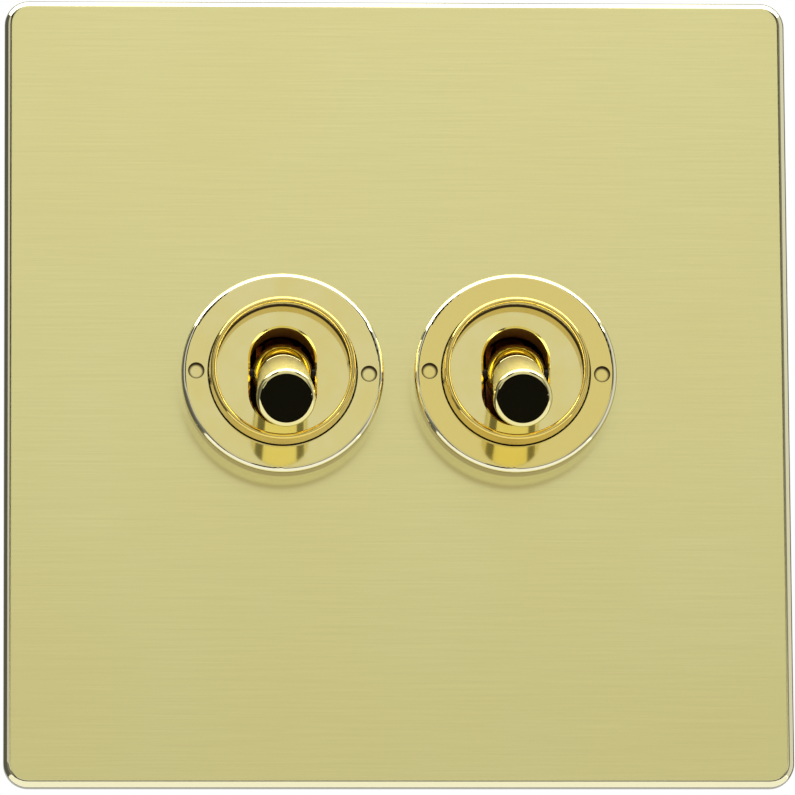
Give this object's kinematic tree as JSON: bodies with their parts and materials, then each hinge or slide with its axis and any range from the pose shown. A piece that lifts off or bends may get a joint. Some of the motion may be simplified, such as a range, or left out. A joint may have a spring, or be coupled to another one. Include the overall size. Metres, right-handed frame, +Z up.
{
  "type": "toggle light switch",
  "caption": "Brushed brass wall plate with toggle light switches: polished ring nuts, tilting dollies, rocking contacts, a hidden steel yoke and rear wire terminals.",
  "frame": {"origin": "midway between the two fixing screws, on the plane of the wall", "axes": "+X to the right as seen from the front, +Y into the wall, +Z up"},
  "size_m": [0.086, 0.0457, 0.0874],
  "materials": {
    "satin_brass": "brushed across, satin",
    "polished_brass": "polished",
    "terminal_brass": "machined",
    "zinc_steel": "zinc plated",
    "blued_steel": "blued",
    "bright_steel": "bright drawn",
    "dark_moulding": "moulded, matt",
    "nylon": "natural",
    "copper_alloy": "pressed",
    "contact_silver": "turned"
  },
  "bodies": {
    "switch_body": {"front_plate": "satin_brass", "backing_frame": "dark_moulding", "mounting_yoke": "zinc_steel", "fixing_screws": "zinc_steel", "earth_terminal": "terminal_brass", "earth_screw": "zinc_steel", "left_ring_nut": "polished_brass", "left_bush": "polished_brass", "left_pivot_pin": "blued_steel", "left_fixed_contacts": "contact_silver", "left_common_terminal": "terminal_brass", "left_upper_terminal": "terminal_brass", "left_lower_terminal": "terminal_brass", "left_terminal_screws": "zinc_steel", "left_switch_case": "dark_moulding", "left_case_bracket": "zinc_steel", "left_lock_nut": "zinc_steel", "left_lock_washer": "bright_steel", "right_ring_nut": "polished_brass", "right_bush": "polished_brass", "right_pivot_pin": "blued_steel", "right_fixed_contacts": "contact_silver", "right_common_terminal": "terminal_brass", "right_upper_terminal": "terminal_brass", "right_lower_terminal": "terminal_brass", "right_terminal_screws": "zinc_steel", "right_switch_case": "dark_moulding", "right_case_bracket": "zinc_steel", "right_lock_nut": "zinc_steel", "right_lock_washer": "bright_steel"},
    "left_lever": {"left_dolly": "polished_brass", "left_plunger_spring": "bright_steel"},
    "left_plunger_slider": {"left_plunger": "nylon"},
    "left_rocker": {"left_rocker_contact": "copper_alloy", "left_moving_contacts": "contact_silver"},
    "right_lever": {"right_dolly": "polished_brass", "right_plunger_spring": "bright_steel"},
    "right_plunger_slider": {"right_plunger": "nylon"},
    "right_rocker": {"right_rocker_contact": "copper_alloy", "right_moving_contacts": "contact_silver"}
  },
  "joints": [
    {"name": "left_dolly_tilt", "type": "hinge", "parent": "switch_body", "child": "left_lever", "pos_m": [-0.0127, -0.0095, 0.001], "axis": [-1, 0, 0], "range_deg": [0, 42]},
    {"name": "left_plunger_slide", "type": "slide", "parent": "left_lever", "child": "left_plunger_slider", "axis": [0, 0.9336, 0.3584], "range_m": [-0.0006, 0], "stiffness_N_per_m": 300, "springref_m": 0.004, "deforming": ["left_plunger_spring"]},
    {"name": "left_rocker_tilt", "type": "hinge", "parent": "switch_body", "child": "left_rocker", "pos_m": [-0.0127, 0.0055, 0.001], "axis": [1, 0, 0], "range_deg": [0, 14]},
    {"name": "right_dolly_tilt", "type": "hinge", "parent": "switch_body", "child": "right_lever", "pos_m": [0.0127, -0.0095, 0.001], "axis": [-1, 0, 0], "range_deg": [0, 42]},
    {"name": "right_plunger_slide", "type": "slide", "parent": "right_lever", "child": "right_plunger_slider", "axis": [0, 0.9336, 0.3584], "range_m": [-0.0006, 0], "stiffness_N_per_m": 300, "springref_m": 0.004, "deforming": ["right_plunger_spring"]},
    {"name": "right_rocker_tilt", "type": "hinge", "parent": "switch_body", "child": "right_rocker", "pos_m": [0.0127, 0.0055, 0.001], "axis": [1, 0, 0], "range_deg": [0, 14]}
  ],
  "couplings": [
    {"joint": "left_rocker_tilt", "follows": "left_dolly_tilt", "ratio": 0.33333},
    {"joint": "right_rocker_tilt", "follows": "right_dolly_tilt", "ratio": 0.33333}
  ]
}
